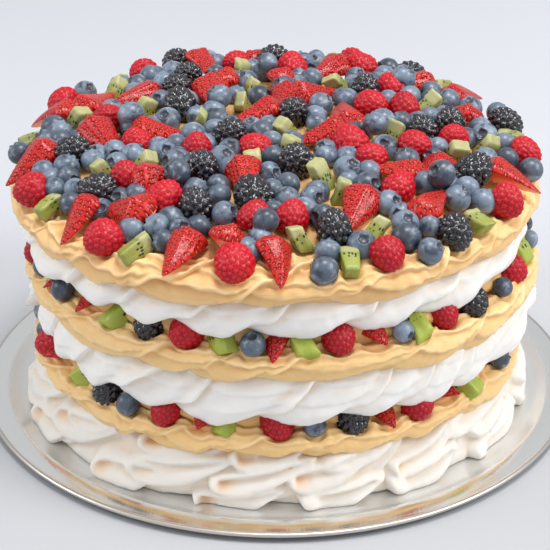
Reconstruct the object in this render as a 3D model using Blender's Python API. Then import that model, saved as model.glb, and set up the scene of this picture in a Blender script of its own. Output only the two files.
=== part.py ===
"""Meringue layer cake with cream and fruit, on the round metal tray that carries it.

Three meringue discs, each under a layer of cream and a layer of fruit, stand on a low
tray with a raised flange. Metres, Z up, origin at the middle of the tray's underside.
Bearings are in degrees round the cake: 0 is the front (-Y), 90 the right (+X).
"""

import math
import random

import bmesh
import bpy
from mathutils import Matrix, Vector

# ---------------------------------------------------------------- driving dimensions
GAP = 0.0003  # between solids that rest on each other

TRAY_RADIUS = 0.178
TRAY_SHEET = 0.0015
TRAY_BASE_RADIUS = 0.158
TRAY_FLANGE_RADIUS = 0.165  # inner edge of the raised flange
TRAY_FLANGE_HEIGHT = 0.0058  # top of that edge above the table
TRAY_FLANGE_DROP = 0.0016  # how far the flange falls towards the rim
TRAY_BEAD_RADIUS = 0.0013
TRAY_SEGMENTS = 48

# Heights above the tray's upper face: bottom of meringue, of cream, of fruit and its top.
TIERS = {
    "low": dict(meringue=0.0, cream=0.0295, fruit=0.0395, top=0.0525),
    "middle": dict(meringue=0.0525, cream=0.0780, fruit=0.0905, top=0.1055),
    "top": dict(meringue=0.1055, cream=0.1230, fruit=0.1360, top=None),
}
MERINGUE_RADIUS = {"low": 0.1455, "middle": 0.1475, "top": 0.1490}
CREAM_RADIUS = {"low": 0.1465, "middle": 0.1515, "top": 0.1540}
TIER_SHIFT = {"low": 0.0, "middle": 0.0020, "top": -0.0025}  # the tiers sit a little askew

PETALS = {"low": 16, "middle": 16, "top": 18}  # swoops of meringue round one tier
PETAL_DEPTH = {"low": 0.0070, "middle": 0.0055, "top": 0.0045}
PETAL_LEAN = {"low": 0.9, "middle": 0.7, "top": 0.6}  # petals that one crest crosses, rising
PETAL_LIFT = 0.0016  # up and down along a crest
UNEVEN = 0.0010  # slow waves round the meringue
# Rows of a side: share of the height, how far inside the outer radius, share of the relief.
MERINGUE_SIDE = (
    (0.00, 0.008, 0.5),
    (0.15, 0.001, 1.0),
    (0.45, 0.000, 1.0),
    (0.78, 0.002, 0.9),
    (1.00, 0.009, 0.3),
)
RUFFLES = 16  # waves round one layer of cream
RUFFLE_DEPTH = 0.0045
RUFFLE_DROOP = 0.0014
# The same for cream, and how many waves the row is ahead of the lowest.
CREAM_SIDE = (
    (0.00, 0.0070, 0.4, 0.00),
    (0.25, 0.0010, 1.0, 0.15),
    (0.50, 0.0040, 0.7, 0.35),
    (0.78, 0.0000, 1.0, 0.60),
    (1.00, 0.0075, 0.6, 0.70),
)
ROUND_SEGMENTS = 64
SWOOP_RISE = 0.72  # share of a wave in which it rises
SHARP_ANGLE = 40.0  # degrees between faces from which an edge stays sharp

# Fruit: (across, along, thick) of a middling piece, and how much single pieces differ.
FRUIT_SIZE = {
    "blueberry": (0.0130, 0.0130, 0.0125),
    "raspberry": (0.0190, 0.0200, 0.0180),
    "bramble": (0.0200, 0.0235, 0.0190),
    "kiwi": (0.0120, 0.0260, 0.0120),
    "strawberry": (0.0200, 0.0310, 0.0130),
}
SIZE_SPREAD = 0.10
TAPER = {"blueberry": 0.0, "raspberry": 0.2, "bramble": 0.1, "strawberry": 0.55}
FLAT_KINDS = ("strawberry",)  # these lie on their broad side
LETTER = {
    "U": "blueberry",
    "R": "raspberry",
    "B": "bramble",
    "K": "kiwi",
    "S": "strawberry",
}
COLOURS = {
    "tray": ((0.62, 0.60, 0.60), 0.25, 1.0),
    "meringue": ((0.90, 0.88, 0.85), 0.55, 0.0),
    "cream": ((0.62, 0.42, 0.24), 0.50, 0.0),
    "fruit": ((0.45, 0.05, 0.05), 0.35, 0.0),
}

# What shows on the front, as the letter of the fruit and its bearing.
FRONT = {
    "low": "U-77 R-70 S-63 K-52 B-43 U-35 R-26 S-17 K-12 R0 U8 B17 S25 R33 S41 K49 U63",
    "middle": "R-78 U-69 S-61 U-56 S-48 K-38 B-30 R-21 K-13 U-6 S-1 K4 R12 S20 U26 K30"
    " R38 B47 U57 R66 K77 U83",
    "top": "S-108 K-96 U-89 S-81 R-67 K-59 S-49 R-38 K-30 S-20 R-8 S1 U10 K16 R24 U33 B42"
    " K50 R61 S72 U80 R87 K96 B104",
}
BACK = "RUSKBURUKSUBRKU"  # order in which the rest of a ring repeats
BACK_SPACING = 0.0240
RIM_REACH = {"low": 0.1475, "middle": 0.1505, "top": 0.1520}  # outer side of the ring

# The fruit inside the top's rim, ring by ring, from the front round by the right.
TOP_RINGS = (
    (0.123, "KBKUSUUBUKUUSUUSURKUBRSUUUKSKUUBUUUBSUUSU"),
    (0.104, "RUSURUSKRBUKURUUSRUKUBUUSURUSUKRURBUR"),
    (0.085, "UUKUSURBURUBKUSUSBUKUURUKSUUB"),
    (0.066, "UKURUKURUSUKSBUSUUBS"),
    (0.047, "BURUSUSKUKURUK"),
    (0.028, "KSUBSUBR"),
    (0.009, "KU"),
)
RIM_LEAN = 18.0  # degrees by which a piece at the rim dips outward
SPREADING_PASSES = 30
RIM_GIVE = 0.2  # share of a push that moves a piece at the rim
CROWDING = 0.92  # how near two pieces may come, as a share of their two half widths
SECOND_LAYER = 8  # blueberries that lie on the others
SECOND_LIFT = 0.0085  # of such a berry over what is under it
SECOND_RADIUS = 0.120
SINK = 0.20  # share of a piece's thickness that lies in the core
MOUND_EDGE = 0.0040  # height of the heap's core at its edge in front
MOUND_HEIGHT = 0.0090  # of its middle over its edge
MOUND_BACK = 0.0110  # of its back over its front
MOUND_RADIUS = 0.140
CORE_INSET = 0.0105  # from the ring's outer side to the side of its core
HIGHEST_FRUIT = 0.0360  # above the top's cream
CORE_SEGMENTS = 18
SOLID_BLUEBERRIES = 4  # one in so many inside the top's rim is a solid, the rest are looks
SEED = 12


# ---------------------------------------------------------------- helpers
def clear_scene():
    for obj in list(bpy.data.objects):
        bpy.data.objects.remove(obj, do_unlink=True)


def collection(name):
    made = bpy.data.collections.new(name)
    bpy.context.scene.collection.children.link(made)
    return made


def material(kind):
    colour, roughness, metallic = COLOURS[kind]
    made = bpy.data.materials.get(kind) or bpy.data.materials.new(kind)
    made.use_nodes = True
    shader = made.node_tree.nodes["Principled BSDF"]
    shader.inputs["Base Color"].default_value = (*colour, 1.0)
    shader.inputs["Roughness"].default_value = roughness
    shader.inputs["Metallic"].default_value = metallic
    made.diffuse_color = (*colour, 1.0)
    return made


def add_object(name, bm, kind, home):
    """Puts a finished bmesh into the scene, smooth except over its sharp edges."""
    mesh = bpy.data.meshes.new(name)
    bm.to_mesh(mesh)
    bm.free()
    mesh.materials.append(material(kind))
    smooth(mesh)
    obj = bpy.data.objects.new(name, mesh)
    home.objects.link(obj)
    return obj


def smooth(mesh):
    mesh.shade_smooth()
    mesh.set_sharp_from_angle(angle=math.radians(SHARP_ANGLE))


def direction(bearing):
    """Unit vector on the plan towards a bearing in degrees."""
    turn = math.radians(bearing)
    return Vector((math.sin(turn), -math.cos(turn), 0.0))


def bearing_of(point):
    return math.degrees(math.atan2(point.x, -point.y)) % 360.0


def swoop(phase):
    """A crest that rises slowly and falls fast, from 0 to 1, once in each unit of phase."""
    part = phase % 1.0
    share = part / SWOOP_RISE if part < SWOOP_RISE else (1.0 - part) / (1.0 - SWOOP_RISE)
    return share * share * (3.0 - 2.0 * share)


def turned(profile, segments):
    """A closed body from (radius, height) points that start and end on the axis."""
    bm = bmesh.new()
    points = [bm.verts.new((radius, 0.0, height)) for radius, height in profile]
    edges = [bm.edges.new(pair) for pair in zip(points, points[1:])]
    bmesh.ops.spin(
        bm,
        geom=points + edges,
        cent=(0.0, 0.0, 0.0),
        axis=(0.0, 0.0, 1.0),
        angle=2.0 * math.pi,
        steps=segments,
        use_merge=True,
    )
    bmesh.ops.remove_doubles(bm, verts=bm.verts, dist=1e-5)
    bmesh.ops.recalc_face_normals(bm, faces=bm.faces)
    return bm


# ---------------------------------------------------------------- tray
def build_tray(home):
    """Flat base, short sloping wall, flange that falls outward and a rolled bead."""
    bead = TRAY_BEAD_RADIUS
    bead_middle = (TRAY_RADIUS - bead, TRAY_FLANGE_HEIGHT - TRAY_FLANGE_DROP)
    bead_outline = [
        (
            bead_middle[0] + bead * math.cos(math.radians(angle)),
            bead_middle[1] + bead * math.sin(math.radians(angle)),
        )
        for angle in (150, 90, 0, -90)
    ]
    profile = [
        (0.0, TRAY_SHEET),
        (TRAY_BASE_RADIUS, TRAY_SHEET),
        (TRAY_FLANGE_RADIUS, TRAY_FLANGE_HEIGHT),
        *bead_outline,
        (TRAY_FLANGE_RADIUS + TRAY_SHEET / 2, TRAY_FLANGE_HEIGHT - TRAY_SHEET),
        (TRAY_BASE_RADIUS + TRAY_SHEET / 2, 0.0),
        (0.0, 0.0),
    ]
    return add_object("tray", turned(profile, TRAY_SEGMENTS), "tray", home)


# ---------------------------------------------------------------- meringue and cream
def side_profile(rows, radius, bottom, top):
    """Outline of a layer from the middle of its underside to the middle of its top."""
    side = [(radius - row[1], bottom + row[0] * (top - bottom)) for row in rows]
    return [(0.0, bottom), *side, (0.0, top)]


def build_meringue(tier, base, home):
    """A disc whose side is a ring of swooping petals, with a scalloped lower edge."""
    bottom = base + TIERS[tier]["meringue"] + GAP
    top = base + TIERS[tier]["cream"]
    height = top - bottom
    radius = MERINGUE_RADIUS[tier]
    bm = turned(side_profile(MERINGUE_SIDE, radius, bottom, top), ROUND_SEGMENTS)
    for vertex in bm.verts:
        plan = Vector((vertex.co.x, vertex.co.y, 0.0))
        if plan.length < radius / 2:
            continue
        share = (vertex.co.z - bottom) / height
        relief = min(MERINGUE_SIDE, key=lambda row: abs(row[0] - share))[2]
        bearing = bearing_of(plan)
        phase = PETALS[tier] * bearing / 360.0 - PETAL_LEAN[tier] * share
        out = (swoop(phase) - 0.5) * PETAL_DEPTH[tier] * relief
        out += UNEVEN * math.sin(math.radians(5 * bearing) + 2.0 * share)
        vertex.co += plan.normalized() * out
        if 0.05 < share < 0.95:
            vertex.co.z += PETAL_LIFT * math.sin(2.0 * math.pi * phase)
    bmesh.ops.translate(bm, verts=bm.verts, vec=(TIER_SHIFT[tier], 0.0, 0.0))
    return add_object(f"meringue_{tier}", bm, "meringue", home)


def build_cream(tier, base, home):
    """A layer with a ruffled edge: two lips one over the other, out of step."""
    bottom = base + TIERS[tier]["cream"] + GAP
    top = base + TIERS[tier]["fruit"]
    height = top - bottom
    radius = CREAM_RADIUS[tier]
    bm = turned(side_profile(CREAM_SIDE, radius, bottom, top), ROUND_SEGMENTS)
    for vertex in bm.verts:
        plan = Vector((vertex.co.x, vertex.co.y, 0.0))
        if plan.length < radius / 2:
            continue
        share = (vertex.co.z - bottom) / height
        _, _, relief, ahead = min(CREAM_SIDE, key=lambda row: abs(row[0] - share))
        bearing = bearing_of(plan)
        phase = RUFFLES * bearing / 360.0 + ahead + 0.4 * math.sin(math.radians(4 * bearing))
        vertex.co += plan.normalized() * (swoop(phase) - 0.6) * RUFFLE_DEPTH * relief
        if 0.05 < share < 0.95:
            vertex.co.z -= RUFFLE_DROOP * swoop(phase + 0.3)
    bmesh.ops.translate(bm, verts=bm.verts, vec=(TIER_SHIFT[tier], 0.0, 0.0))
    return add_object(f"cream_{tier}", bm, "cream", home)


# ---------------------------------------------------------------- where the fruit lies
def mound(spot):
    """Height of the top's core above its cream: domed, and higher towards the back."""
    share = min(spot.length / MOUND_RADIUS, 1.0)
    back = 0.5 * (1.0 + spot.y / MOUND_RADIUS)
    return MOUND_EDGE + MOUND_HEIGHT * (1.0 - share**3) + MOUND_BACK * back


def placed(kind, bearing, radius, chance, heading=None):
    """One fruit as a plain record; its heading is the bearing that its long side faces."""
    scale = 1.0 + chance.uniform(-SIZE_SPREAD, SIZE_SPREAD)
    if heading is None:
        heading = chance.uniform(0.0, 360.0)
    across, along, thick = (side * scale for side in FRUIT_SIZE[kind])
    reach = 0.25 * (across + along)  # radius of the round that it takes on the plan
    return dict(
        kind=kind,
        spot=direction(bearing) * radius,
        heading=heading,
        scale=scale,
        reach=reach,
        thick=thick,
        rim=False,
        tilt=chance.uniform(-12.0, 12.0),
        roll=chance.uniform(-25.0, 25.0) if kind in FLAT_KINDS else chance.uniform(0.0, 360.0),
    )


def ring_fruit(tier, chance):
    """The outer ring of a tier: as the photo shows it in front, by a rule behind."""
    front = [(LETTER[mark[0]], float(mark[1:])) for mark in FRONT[tier].split()]
    first, last = front[0][1], front[-1][1]
    room = math.radians(360.0 + first - last) * RIM_REACH[tier]
    count = int(room / BACK_SPACING)
    for place in range(1, count):
        bearing = last + (360.0 + first - last) * place / count
        front.append((LETTER[BACK[place % len(BACK)]], bearing + chance.uniform(-1.0, 1.0)))
    made = []
    for kind, bearing in front:
        heading = bearing + chance.uniform(-28.0, 28.0)
        radius = RIM_REACH[tier] - 0.5 * FRUIT_SIZE[kind][1] + chance.uniform(-0.0012, 0.0008)
        made.append(dict(placed(kind, bearing, radius, chance, heading), rim=True))
    return made


def top_fruit(chance):
    """Rings of fruit inside the rim, pushed apart until they hardly cross."""
    fruits = ring_fruit("top", chance)
    for radius, letters in TOP_RINGS:
        widths = [sum(FRUIT_SIZE[LETTER[letter]][:2]) / 2 for letter in letters]
        walked = 0.0
        for letter, width in zip(letters, widths):
            bearing = 360.0 * (walked + width / 2) / sum(widths)
            walked += width
            spot = radius + chance.uniform(-0.0025, 0.0025)
            fruits.append(placed(LETTER[letter], bearing, spot, chance))
    for _ in range(SPREADING_PASSES):
        push_apart(fruits)
    return fruits


def push_apart(fruits):
    """One pass: each pair that is too close moves apart, the rim's pieces less."""
    for i, one in enumerate(fruits):
        for other in fruits[i + 1:]:
            between = other["spot"] - one["spot"]
            wanted = CROWDING * (one["reach"] + other["reach"])
            distance = between.length
            if distance >= wanted or distance < 1e-6:
                continue
            push = between * (0.4 * (wanted - distance) / distance)
            one["spot"] -= push * (RIM_GIVE if one["rim"] else 1.0)
            other["spot"] += push * (RIM_GIVE if other["rim"] else 1.0)
    for fruit in fruits:
        farthest = RIM_REACH["top"] - 0.5 * FRUIT_SIZE[fruit["kind"]][1]
        if fruit["spot"].length > farthest:
            fruit["spot"] *= farthest / fruit["spot"].length


def stack(fruits, chance):
    """Heights of the top's fruit, with some more blueberries laid where they find hold."""
    for fruit in fruits:
        fruit["height"] = mound(fruit["spot"]) + (0.5 - SINK) * fruit["thick"]
    for place in range(SECOND_LAYER):
        bearing = 360.0 * place / SECOND_LAYER + chance.uniform(-9.0, 9.0)
        radius = SECOND_RADIUS * math.sqrt(chance.uniform(0.02, 1.0))
        extra = placed("blueberry", bearing, radius, chance)
        near = [f for f in fruits if (f["spot"] - extra["spot"]).length < extra["thick"]]
        under = max((f["height"] for f in near), default=mound(extra["spot"]))
        extra["height"] = min(under + SECOND_LIFT, HIGHEST_FRUIT - extra["thick"] / 2)
        fruits.append(extra)
    return fruits


# ---------------------------------------------------------------- fruit solids
def fruit_shape(kind):
    """One piece with few sides, its tip towards -Y, centred on the origin."""
    across, along, thick = FRUIT_SIZE[kind]
    bm = bmesh.new()
    if kind == "kiwi":
        bmesh.ops.create_cube(bm, size=1.0)
        bmesh.ops.scale(bm, verts=bm.verts, vec=(across, along, thick))
        return bm
    bmesh.ops.create_icosphere(bm, subdivisions=1, radius=0.5,
                               matrix=Matrix.Rotation(math.pi / 2, 4, "X"))
    taper = TAPER[kind]
    for vertex in bm.verts:
        vertex.co.x *= 1.0 + 2.0 * taper * vertex.co.y
        vertex.co.z *= 1.0 + 2.0 * taper * vertex.co.y
    full = 1.08  # so that the flat sides keep the volume of the round piece
    bmesh.ops.scale(bm, verts=bm.verts, vec=(across * full, along, thick * full))
    return bm


def clip(bm, height, keep_above):
    """Cuts a convex piece flat at a height and closes it."""
    normal = (0.0, 0.0, 1.0 if keep_above else -1.0)
    cut = bmesh.ops.bisect_plane(
        bm,
        geom=bm.verts[:] + bm.edges[:] + bm.faces[:],
        plane_co=(0.0, 0.0, height),
        plane_no=normal,
        clear_inner=True,
    )
    rim = [item for item in cut["geom_cut"] if isinstance(item, bmesh.types.BMEdge)]
    if rim:
        bmesh.ops.contextual_create(bm, geom=rim)


def add_fruit(fruit, floor, ceiling, middle, shift, pieces, chance):
    """Turns a fruit into place, cuts what would cross the layers and adds it."""
    bm = fruit_shape(fruit["kind"])
    lean = RIM_LEAN if fruit["rim"] else 0.0
    turn = (
        Matrix.Rotation(math.radians(fruit["heading"]), 4, "Z")
        @ Matrix.Rotation(math.radians(fruit["tilt"] + lean), 4, "X")
        @ Matrix.Rotation(math.radians(fruit["roll"]), 4, "Y")
    )
    spot = Vector((fruit["spot"].x + shift, fruit["spot"].y, middle))
    bmesh.ops.transform(
        bm, verts=bm.verts, matrix=Matrix.Translation(spot) @ turn @ Matrix.Scale(fruit["scale"], 4)
    )
    clip(bm, floor + chance.uniform(0.0002, 0.0006), True)
    if ceiling is not None:
        clip(bm, ceiling - chance.uniform(0.0002, 0.0006), False)
    bmesh.ops.recalc_face_normals(bm, faces=bm.faces)
    return add_object(f"piece_{len(pieces.objects)}", bm, "fruit", pieces)


def fuse(core, pieces):
    """Joins the pieces to the core with one union, keeps the largest shell, drops the rest."""
    union = core.modifiers.new("Union", "BOOLEAN")
    union.operation = "UNION"
    union.operand_type = "COLLECTION"
    union.collection = pieces
    union.solver = "EXACT"
    union.use_self = True
    graph = bpy.context.evaluated_depsgraph_get()
    mesh = bpy.data.meshes.new_from_object(core.evaluated_get(graph))
    core.modifiers.clear()
    core.data = mesh
    for obj in list(pieces.objects):
        bpy.data.objects.remove(obj, do_unlink=True)
    bpy.data.collections.remove(pieces)
    keep_largest_shell(mesh)


def keep_largest_shell(mesh):
    """Removes loose scraps and the walls of sealed hollows: all shells but the outer one."""
    bm = bmesh.new()
    bm.from_mesh(mesh)
    bmesh.ops.triangulate(bm, faces=bm.faces)
    shells = []
    waiting = set(bm.faces)
    while waiting:
        shell = []
        reached = [waiting.pop()]
        while reached:
            face = reached.pop()
            shell.append(face)
            for edge in face.edges:
                for near in edge.link_faces:
                    if near in waiting:
                        waiting.remove(near)
                        reached.append(near)
        shells.append(shell)
    shells.sort(key=len)
    loose = [face for shell in shells[:-1] for face in shell]
    bmesh.ops.delete(bm, geom=loose, context="FACES")
    bm.to_mesh(mesh)
    bm.free()


def build_fruit_ring(tier, base, home, chance):
    """A layer of fruit between two tiers: a plain core with the ring that shows."""
    bottom = base + TIERS[tier]["fruit"] + GAP
    top = base + TIERS[tier]["top"]
    core_radius = RIM_REACH[tier] - CORE_INSET
    profile = [(0.0, bottom), (core_radius, bottom), (core_radius, top), (0.0, top)]
    bm = turned(profile, CORE_SEGMENTS)
    bmesh.ops.translate(bm, verts=bm.verts, vec=(TIER_SHIFT[tier], 0.0, 0.0))
    core = add_object(f"fruit_{tier}", bm, "fruit", home)
    pieces = collection("pieces")
    for fruit in ring_fruit(tier, chance):
        middle = bottom + 0.5 * (top - bottom)
        add_fruit(fruit, bottom, top, middle, TIER_SHIFT[tier], pieces, chance)
    fuse(core, pieces)
    return core


def build_fruit_top(base, home, chance):
    """The heap on top: a low mound with all the pieces that show on it."""
    bottom = base + TIERS["top"]["fruit"] + GAP
    edge = bottom + MOUND_EDGE
    profile = [(0.0, bottom), (MOUND_RADIUS, bottom)]
    profile += [(MOUND_RADIUS * share, edge) for share in (1.0, 0.7, 0.0)]
    bm = turned(profile, CORE_SEGMENTS)
    for vertex in bm.verts:
        if vertex.co.z > bottom + MOUND_EDGE / 2:
            vertex.co.z = bottom + mound(Vector((vertex.co.x, vertex.co.y, 0.0)))
    bmesh.ops.translate(bm, verts=bm.verts, vec=(TIER_SHIFT["top"], 0.0, 0.0))
    core = add_object("fruit_top", bm, "fruit", home)
    pieces = collection("pieces")
    fruits = stack(top_fruit(chance), chance)
    small = [f for f in fruits if f["kind"] == "blueberry" and not f["rim"]]
    skipped = [f for place, f in enumerate(small[:-SECOND_LAYER]) if place % SOLID_BLUEBERRIES]
    for fruit in fruits:
        if fruit in skipped:
            continue
        middle = bottom + fruit["height"]
        add_fruit(fruit, bottom, None, middle, TIER_SHIFT["top"], pieces, chance)
    fuse(core, pieces)
    return core


def build_cake():
    clear_scene()
    home = collection("meringue_layer_cake")
    base = TRAY_SHEET
    build_tray(home)
    for tier in TIERS:
        build_meringue(tier, base, home)
        build_cream(tier, base, home)
    build_fruit_ring("low", base, home, random.Random(SEED))
    build_fruit_ring("middle", base, home, random.Random(SEED + 1))
    build_fruit_top(base, home, random.Random(SEED + 2))


build_cake()
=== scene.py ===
"""Layered meringue cake with coffee cream and mixed fruit on its round metal tray.

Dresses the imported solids: piped meringue, ruffled cream, a turned tray and every single fruit.
It is laid out as an add-on and run as a script. Relief is worked out in millimetres on a
grid: `along` runs round a layer and `up` follows its outline from its lower corner.
Bearings are in degrees round the cake: 0 is the front (-Y), 90 the right (+X).
"""

import math
import random

import bmesh
import bpy
import numpy as np
from bpy.props import FloatProperty, FloatVectorProperty, PointerProperty
from mathutils import Matrix, Vector


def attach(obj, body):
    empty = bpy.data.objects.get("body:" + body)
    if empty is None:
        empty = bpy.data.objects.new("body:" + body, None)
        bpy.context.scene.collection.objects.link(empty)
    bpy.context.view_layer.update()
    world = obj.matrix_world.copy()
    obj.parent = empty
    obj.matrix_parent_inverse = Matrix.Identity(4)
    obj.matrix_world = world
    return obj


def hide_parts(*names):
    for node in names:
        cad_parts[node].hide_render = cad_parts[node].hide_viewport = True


bl_info = {
    "name": "Meringue Layer Cake",
    "version": (1, 0, 0),
    "blender": (4, 5, 0),
    "location": "3D View > Sidebar > Cake",
    "description": "Meringue discs, coffee cream and fruit on a metal tray",
    "category": "Add Mesh",
}

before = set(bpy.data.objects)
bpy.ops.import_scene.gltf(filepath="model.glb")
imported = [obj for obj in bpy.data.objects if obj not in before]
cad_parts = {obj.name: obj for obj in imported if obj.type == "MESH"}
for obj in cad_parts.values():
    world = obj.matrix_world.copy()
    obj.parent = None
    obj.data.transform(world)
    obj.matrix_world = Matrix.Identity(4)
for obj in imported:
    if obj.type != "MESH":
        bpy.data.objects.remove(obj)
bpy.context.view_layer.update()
MM = 0.001
SEED = 12

# ---------------------------------------------------------------- the solids' own sizes
GAP = 0.3 * MM  # between a tier's cream and the fruit on it
TRAY_SHEET = 1.5 * MM
TRAY_RADIUS = 178 * MM
TRAY_BASE_RADIUS = 158 * MM
TRAY_FLANGE_RADIUS = 165 * MM
TRAY_FLANGE_HEIGHT = 5.8 * MM
TRAY_FLANGE_DROP = 1.6 * MM
TRAY_BEAD_RADIUS = 1.3 * MM
TIERS = {  # heights above the tray's sheet where each layer starts
    "low": dict(meringue=0.0, cream=0.0295, fruit=0.0395, top=0.0525),
    "middle": dict(meringue=0.0525, cream=0.0780, fruit=0.0905, top=0.1055),
    "top": dict(meringue=0.1055, cream=0.1230, fruit=0.1360, top=None),
}
TIER_SHIFT = {"low": 0.0, "middle": 0.0020, "top": -0.0025}  # to the right
FRUIT_SIZE = {  # across, along and thick
    "blueberry": (0.0130, 0.0130, 0.0125),
    "raspberry": (0.0190, 0.0200, 0.0180),
    "bramble": (0.0200, 0.0235, 0.0190),
    "kiwi": (0.0120, 0.0260, 0.0120),
    "strawberry": (0.0200, 0.0310, 0.0130),
}
SIZE_SPREAD = 0.10
LETTER = dict(U="blueberry", R="raspberry", B="bramble", K="kiwi", S="strawberry")
FRONT = {  # a letter and a bearing for each fruit that shows at the rim
    "low": "U-77 R-70 S-63 K-52 B-43 U-35 R-26 S-17 K-12 R0 U8 B17 S25 R33 S41 K49 U63",
    "middle": "R-78 U-69 S-61 U-56 S-48 K-38 B-30 R-21 K-13 U-6 S-1 K4 R12 S20 U26 K30"
    " R38 B47 U57 R66 K77 U83",
    "top": "S-108 K-96 U-89 S-81 R-67 K-59 S-49 R-38 K-30 S-20 R-8 S1 U10 K16 R24 U33 B42"
    " K50 R61 S72 U80 R87 K96 B104",
}
BACK = "RUSKBURUKSUBRKU"
BACK_SPACING = 0.0240
RIM_REACH = {"low": 0.1475, "middle": 0.1505, "top": 0.1520}
TOP_RINGS = (  # radius of each ring inside the top's rim, and its fruit
    (0.123, "KBKUSUUBUKUUSUUSURKUBRSUUUKSKUUBUUUBSUUSU"),
    (0.104, "RUSURUSKRBUKURUUSRUKUBUUSURUSUKRURBUR"),
    (0.085, "UUKUSURBURUBKUSUSBUKUURUKSUUB"),
    (0.066, "UKURUKURUSUKSBUSUUBS"),
    (0.047, "BURUSUSKUKURUK"),
    (0.028, "KSUBSUBR"),
    (0.009, "KU"),
)
RIM_LEAN = 18.0
HEADING_SPREAD = 28.0
SPREADING_PASSES = 30
PUSH_SHARE = 0.4  # of what two fruits lack in distance, for each pass
RIM_GIVE = 0.2
CROWDING = 0.92  # nearest that two fruits lie, as a share of their reaches
SECOND_LAYER = 8
SECOND_LIFT = 0.0085
SECOND_RADIUS = 0.120
SINK = 0.20  # share of a fruit's thickness that is in the cream
MOUND_EDGE = 0.0040
MOUND_HEIGHT = 0.0090
MOUND_BACK = 0.0110
MOUND_RADIUS = 0.140
CORE_RADIUS = 0.134
HIGHEST_FRUIT = 0.0360

# ---------------------------------------------------------------- what the solids leave out
HANGING_LEAN = {"kiwi": 24.0, "strawberry": -9.0}
GROWN = {("strawberry", "top"): 1.2, ("strawberry", "middle"): 1.1, ("strawberry", "low"): 1.1,
         ("kiwi", "top"): 0.76, ("blueberry", "top"): 1.15}
STANDING = {  # pitch inside the rim, which turns tips and cores up
    "bramble": (-100, -25), "raspberry": (-90, -10), "kiwi": (40, 72)}
RIM_SETTLE = (0.0020, 0.0030)  # how far the top's rim fruit has slid out and sunk
CROWD = (  # kind, how often a place is tried, and how near it may be to others
    ("strawberry", 400, 0.76), ("bramble", 400, 0.76), ("raspberry", 300, 0.76),
    ("blueberry", 5000, 0.755))
COLUMNS = 1000  # of the grid round a layer
ROUNDING = 5.0  # length over which a layer's outline is rounded
LOBES = {  # a lobe of piped stuff: sizes are shares of its depth, sweep and pitch millimetres
    "shell": dict(scoop=1.0, swell=0.28, curve=1, crest=0.72, thin=0.12, sweep=16, sweep_curve=2,
                  pitch=10.5, lips=0.42, flute=0.08, round_from=19),
    "fold": dict(scoop=0.3, swell=0.34, curve=1.3, crest=0.34, thin=0.05, sweep=10,
                 sweep_curve=2.4, pitch=7.4, lips=1.0, flute=0.03, round_from=14),
}
PETALS_IN_ROW = 16
PETAL_LENGTH = (44, 64)
PETAL_WIDTH = (6.2, 8.8)
PETAL_ROWS = (  # heights of the lower edges, share of the depth, start round the disc, rise
    ((25, 30), 0.80, 30.0, 15), ((17, 22), 0.95, 15.0, 14), ((8, 12), 1.05, 0.0, 9))
CREAM_OUTLINE = {  # radius and height from inside the underside to inside the top
    "low": [(110, 29.6), (136, 29.6), (142, 29.8), (145.5, 32), (146.5, 36), (144.5, 40),
            (139, 41.5), (130, 41.0), (110, 41.0)],
    "middle": [(110, 78.1), (139, 78.1), (146, 78.4), (149.5, 81.5), (150.5, 86.5), (148, 91.5),
               (142, 93), (132, 92.5), (110, 92.5)],
    "top": [(110, 123.1), (140, 123.1), (147, 123.4), (151.0, 126.5), (151.8, 131.5),
            (149, 136), (143, 137.8), (132, 138.6), (110, 138.6)],
}
TINTS = {  # colours that the finishes mix with those that a user may change
    "low_disc": (0.72, 0.66, 0.58), "baked_tone_and_hollow_shade": (0.82, 0.66, 0.48), "toasted": (0.82, 0.58, 0.36),
    "lower_cream": (0.96, 0.70, 0.32), "cream_crest_highlight": (0.92, 0.70, 0.43),
    "ripe_raspberry": (0.55, 0.007, 0.018), "raspberry_crease_shade": (0.17, 0.001, 0.004),
    "raspberry_patch": (0.68, 0.03, 0.07),
    "ripe_bramble": (0.016, 0.010, 0.016), "bramble_patch": (0.018, 0.026, 0.026),
    "bramble_crease_shade": (0.002, 0.002, 0.003),
    "dark_blueberry": (0.036, 0.052, 0.080), "bloom": (0.33, 0.40, 0.50),
    "rubbed_bloom": (0.018, 0.024, 0.040), "crown": (0.020, 0.018, 0.030),
    "pale_kiwi": (0.24, 0.245, 0.060), "kiwi_ray": (0.35, 0.36, 0.12),
    "kiwi_painted_light": (0.44, 0.54, 0.05), "kiwi_seed": (0.006, 0.005, 0.004),
    "ripe_strawberry": (0.55, 0.011, 0.006), "strawberry_pit_shade": (0.38, 0.003, 0.004),
    "strawberry_seed": (0.90, 0.50, 0.22), "pulp": (0.90, 0.42, 0.26),
    "pulp_edge": (0.78, 0.06, 0.03),
    "tray_floor": (0.83, 0.83, 0.825), "tray_cloud": (0.76, 0.76, 0.75),
    "tray_bead_shade": (0.62, 0.58, 0.54), "floor_cloud": (0.4, 0.4, 0.4),
}
SKY_BRIGHTEST = (0.25, -0.78, 0.57)
SKY_RANGE = {"From Min": -0.4, "From Max": 0.9, "To Min": 0.62, "To Max": 0.83}
LAMPS = (  # name, place, aim, size, energy, colour
    ("window", (2.2, -0.5, 1.9), (0.0, 0.0, 0.08), 1.3, 38.0, (1.0, 0.985, 0.965)),
    ("overhead", (0.25, -0.10, 2.1), (0.0, 0.0, 0.15), 0.9, 27.0, (0.985, 0.99, 1.0)),
    ("door", (-1.8, -0.1, 1.2), (0.0, 0.0, 0.08), 1.0, 11.0, (0.97, 0.985, 1.0)),
)


# ---------------------------------------------------------------- what a user may change
def size_property(name, description, default):
    return FloatProperty(name=name, description=description, default=default, min=0.0,
                         subtype="DISTANCE", unit="LENGTH")


def colour_property(name, description, default):
    return FloatVectorProperty(name=name, description=description, default=default,
                               subtype="COLOR", min=0.0, max=1.0)


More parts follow.
